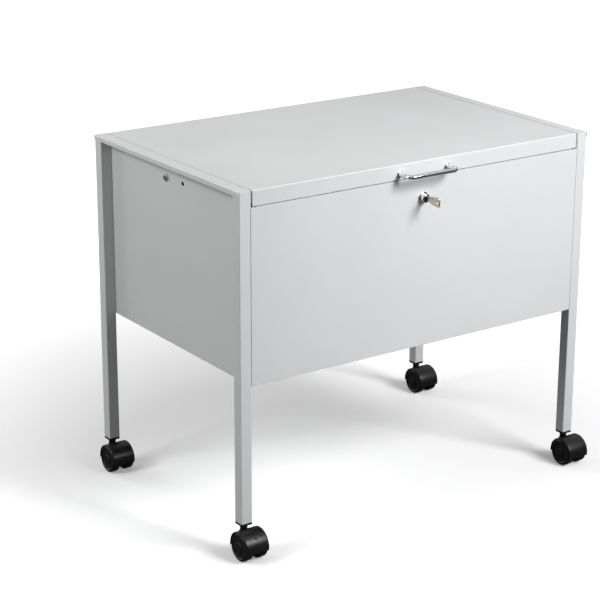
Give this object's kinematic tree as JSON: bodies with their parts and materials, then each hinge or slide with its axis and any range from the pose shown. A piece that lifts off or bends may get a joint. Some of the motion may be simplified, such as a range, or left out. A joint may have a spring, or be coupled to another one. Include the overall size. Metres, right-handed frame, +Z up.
{
  "type": "lidded filing trolley",
  "caption": "Lockable sheet-metal box on square-tube legs and swivelling twin-wheel castors, with a flat hinged lid on slotted stays, a bow handle and a cam lock.",
  "frame": {"origin": "on the floor, under the middle of the whole trolley with its key and hinges", "axes": "+X to the right along the width, +Y to the back (hinge side), +Z up"},
  "size_m": [0.722, 0.4944, 0.602],
  "materials": {
    "cabinet_paint": "fine satin powder coat, light grey",
    "chrome": "polished chrome plate",
    "zinc_steel": "bright zinc plate",
    "key_metal": "nickel silver, lightly worn",
    "castor_plastic": "black moulded nylon, satin",
    "wheel_plastic": "black hard-tread plastic",
    "buffer_rubber": "matt black rubber"
  },
  "bodies": {
    "frame": {"bottom_panel": "cabinet_paint", "bottom_screws": "zinc_steel", "castor_front_left_insert": "castor_plastic", "castor_front_right_insert": "castor_plastic", "castor_rear_left_insert": "castor_plastic", "castor_rear_right_insert": "castor_plastic", "front_panel": "cabinet_paint", "hinge_box_leaf_left": "zinc_steel", "hinge_box_leaf_right": "zinc_steel", "hinge_pins": "zinc_steel", "hinge_screws_box": "zinc_steel", "left_side_panel": "cabinet_paint", "leg_front_left": "cabinet_paint", "leg_front_right": "cabinet_paint", "leg_rear_left": "cabinet_paint", "leg_rear_right": "cabinet_paint", "leg_screws": "zinc_steel", "lid_buffers": "buffer_rubber", "lock_housing": "chrome", "lock_nut": "zinc_steel", "rear_panel": "cabinet_paint", "right_side_panel": "cabinet_paint", "stay_bolts": "zinc_steel", "stay_nuts": "zinc_steel"},
    "lid": {"lid": "cabinet_paint", "handle": "chrome", "handle_screws": "zinc_steel", "lock_keeper": "zinc_steel", "stay_rivets": "zinc_steel", "hinge_lid_leaf_left": "zinc_steel", "hinge_lid_leaf_right": "zinc_steel", "hinge_screws_lid": "zinc_steel"},
    "stay_arm_left": {"stay_arm_left": "zinc_steel"},
    "stay_arm_right": {"stay_arm_right": "zinc_steel"},
    "lock_barrel": {"lock_plug": "chrome", "lock_cam": "zinc_steel", "cam_screw": "zinc_steel"},
    "key": {"key": "key_metal"},
    "castor_front_left": {"castor_front_left_hood": "castor_plastic", "castor_front_left_stem": "zinc_steel", "castor_front_left_axle": "zinc_steel"},
    "wheel_front_left_left": {"castor_front_left_wheel_left": "wheel_plastic"},
    "wheel_front_left_right": {"castor_front_left_wheel_right": "wheel_plastic"},
    "castor_front_right": {"castor_front_right_hood": "castor_plastic", "castor_front_right_stem": "zinc_steel", "castor_front_right_axle": "zinc_steel"},
    "wheel_front_right_left": {"castor_front_right_wheel_left": "wheel_plastic"},
    "wheel_front_right_right": {"castor_front_right_wheel_right": "wheel_plastic"},
    "castor_rear_left": {"castor_rear_left_hood": "castor_plastic", "castor_rear_left_stem": "zinc_steel", "castor_rear_left_axle": "zinc_steel"},
    "wheel_rear_left_left": {"castor_rear_left_wheel_left": "wheel_plastic"},
    "wheel_rear_left_right": {"castor_rear_left_wheel_right": "wheel_plastic"},
    "castor_rear_right": {"castor_rear_right_hood": "castor_plastic", "castor_rear_right_stem": "zinc_steel", "castor_rear_right_axle": "zinc_steel"},
    "wheel_rear_right_left": {"castor_rear_right_wheel_left": "wheel_plastic"},
    "wheel_rear_right_right": {"castor_rear_right_wheel_right": "wheel_plastic"}
  },
  "joints": [
    {"name": "lid_tilt", "type": "hinge", "parent": "frame", "child": "lid", "pos_m": [0, 0.2447, 0.57625], "axis": [-1, 0, 0], "range_deg": [0, 75]},
    {"name": "stay_left_turn", "type": "hinge", "parent": "lid", "child": "stay_arm_left", "pos_m": [-0.3243, 0.04226, 0.59], "axis": [1, 0, 0], "range_deg": [0, 37.5]},
    {"name": "stay_right_turn", "type": "hinge", "parent": "lid", "child": "stay_arm_right", "pos_m": [0.3243, 0.04226, 0.59], "axis": [1, 0, 0], "range_deg": [0, 37.5]},
    {"name": "lock_turn", "type": "hinge", "parent": "frame", "child": "lock_barrel", "pos_m": [0, -0.2042, 0.541], "axis": [0, 1, 0], "range_deg": [0, 90]},
    {"name": "key_pull", "type": "slide", "parent": "lock_barrel", "child": "key", "axis": [0, -1, 0], "range_m": [0, 0.02]},
    {"name": "swivel_front_left", "type": "hinge", "parent": "frame", "child": "castor_front_left", "pos_m": [-0.34, -0.1942, 0.0535], "axis": [0, 0, 1], "continuous": true},
    {"name": "roll_front_left_left", "type": "hinge", "parent": "castor_front_left", "child": "wheel_front_left_left", "pos_m": [-0.35375, -0.2112, 0.023], "axis": [1, 0, 0], "continuous": true},
    {"name": "roll_front_left_right", "type": "hinge", "parent": "castor_front_left", "child": "wheel_front_left_right", "pos_m": [-0.32625, -0.2112, 0.023], "axis": [1, 0, 0], "continuous": true},
    {"name": "swivel_front_right", "type": "hinge", "parent": "frame", "child": "castor_front_right", "pos_m": [0.34, -0.1942, 0.0535], "axis": [0, 0, 1], "continuous": true},
    {"name": "roll_front_right_left", "type": "hinge", "parent": "castor_front_right", "child": "wheel_front_right_left", "pos_m": [0.32625, -0.2112, 0.023], "axis": [1, 0, 0], "continuous": true},
    {"name": "roll_front_right_right", "type": "hinge", "parent": "castor_front_right", "child": "wheel_front_right_right", "pos_m": [0.35375, -0.2112, 0.023], "axis": [1, 0, 0], "continuous": true},
    {"name": "swivel_rear_left", "type": "hinge", "parent": "frame", "child": "castor_rear_left", "pos_m": [-0.34, 0.2318, 0.0535], "axis": [0, 0, 1], "continuous": true},
    {"name": "roll_rear_left_left", "type": "hinge", "parent": "castor_rear_left", "child": "wheel_rear_left_left", "pos_m": [-0.35375, 0.2148, 0.023], "axis": [1, 0, 0], "continuous": true},
    {"name": "roll_rear_left_right", "type": "hinge", "parent": "castor_rear_left", "child": "wheel_rear_left_right", "pos_m": [-0.32625, 0.2148, 0.023], "axis": [1, 0, 0], "continuous": true},
    {"name": "swivel_rear_right", "type": "hinge", "parent": "frame", "child": "castor_rear_right", "pos_m": [0.34, 0.2318, 0.0535], "axis": [0, 0, 1], "continuous": true},
    {"name": "roll_rear_right_left", "type": "hinge", "parent": "castor_rear_right", "child": "wheel_rear_right_left", "pos_m": [0.32625, 0.2148, 0.023], "axis": [1, 0, 0], "continuous": true},
    {"name": "roll_rear_right_right", "type": "hinge", "parent": "castor_rear_right", "child": "wheel_rear_right_right", "pos_m": [0.35375, 0.2148, 0.023], "axis": [1, 0, 0], "continuous": true}
  ],
  "couplings": [
    {"joint": "stay_left_turn", "follows": "lid_tilt", "ratio": 0.5},
    {"joint": "stay_right_turn", "follows": "lid_tilt", "ratio": 0.5}
  ]
}
